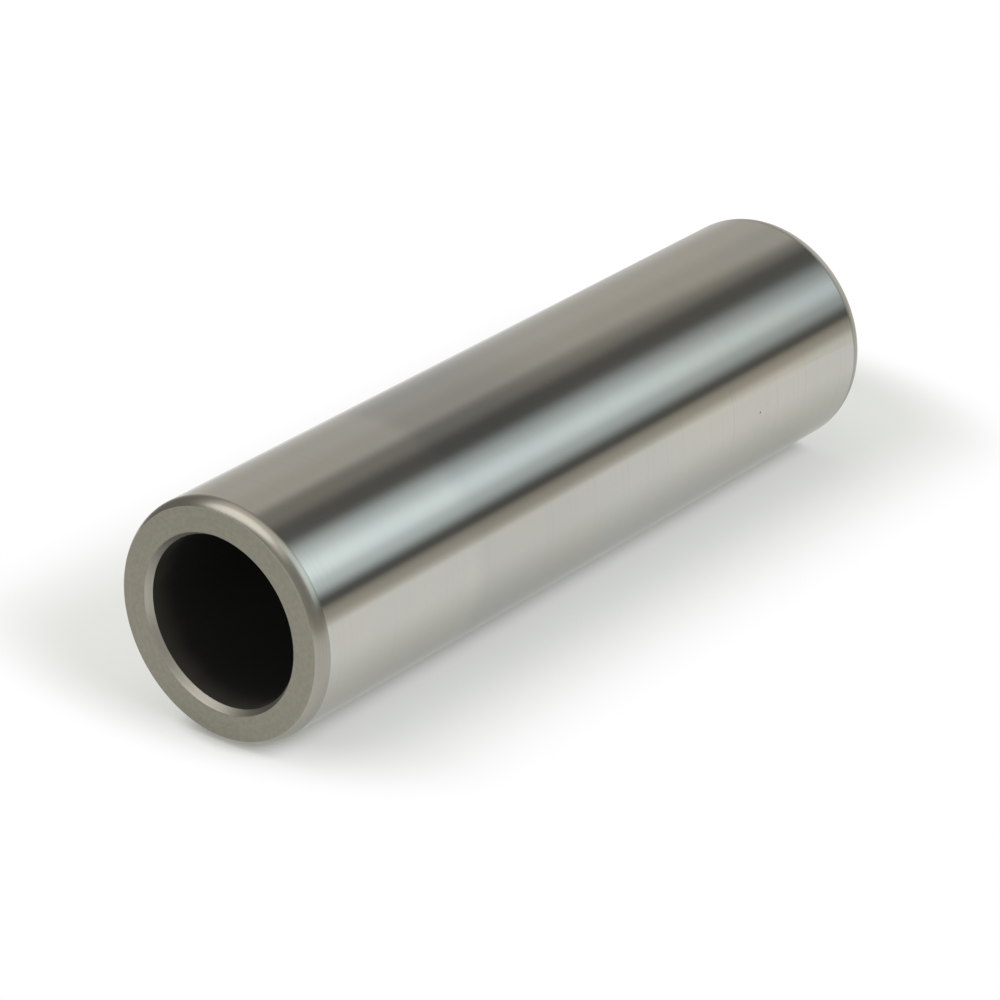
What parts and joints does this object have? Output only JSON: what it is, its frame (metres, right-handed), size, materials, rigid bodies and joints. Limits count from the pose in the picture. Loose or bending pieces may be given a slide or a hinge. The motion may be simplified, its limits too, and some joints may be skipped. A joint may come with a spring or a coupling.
{
  "type": "gudgeon pin",
  "caption": "Hollow ground steel gudgeon pin with rounded outer edges and a bevelled through bore, made to join an engine piston to its connecting rod.",
  "frame": {"origin": "centre of the lower end face, on the pin's axis", "axes": "+Z along the pin's axis, up from the end face that it stands on; the pin is round, so X and Y are free"},
  "size_m": [0.02, 0.02, 0.072],
  "materials": {
    "ground_steel": "fine ground barrel with a soft mirror gloss, satin turned end faces, dark oxide left in the bore"
  },
  "bodies": {
    "root": {"gudgeon_pin": "ground_steel"}
  },
  "joints": []
}
